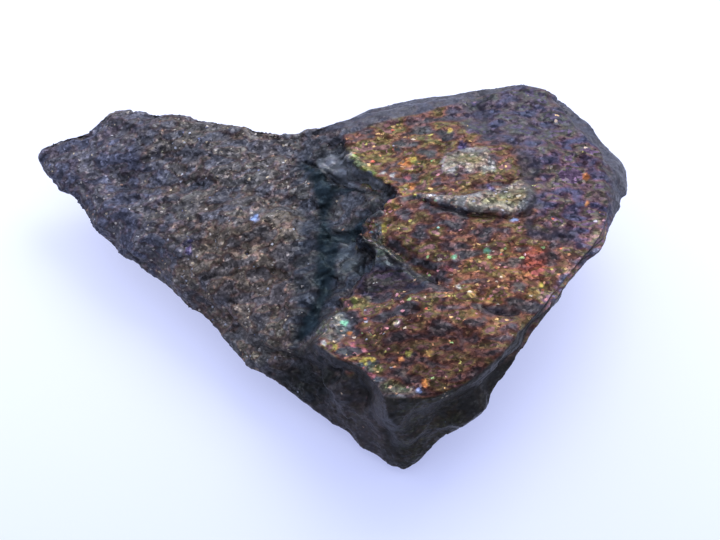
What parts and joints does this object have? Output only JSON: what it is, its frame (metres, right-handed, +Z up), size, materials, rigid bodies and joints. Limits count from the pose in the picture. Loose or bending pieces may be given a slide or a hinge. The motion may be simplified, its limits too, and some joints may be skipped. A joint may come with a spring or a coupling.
{
  "type": "peacock ore specimen",
  "caption": "Rough chunk of tarnished bornite with a grainy arm, a flaky iridescent plate, a pit at the plate's broken edge and a small flat resting spot.",
  "frame": {"origin": "centre of the chunk's outline seen from above, at the level of the surface it rests on", "axes": "+X towards the broad end, along the chunk's length; +Y towards its back edge; +Z up"},
  "size_m": [0.07, 0.0446, 0.0176],
  "materials": {
    "tarnished_ore": "rough metallic grain with an iridescent copper, gold, green and violet tarnish"
  },
  "bodies": {
    "root": {"ore_chunk": "tarnished_ore"}
  },
  "joints": []
}
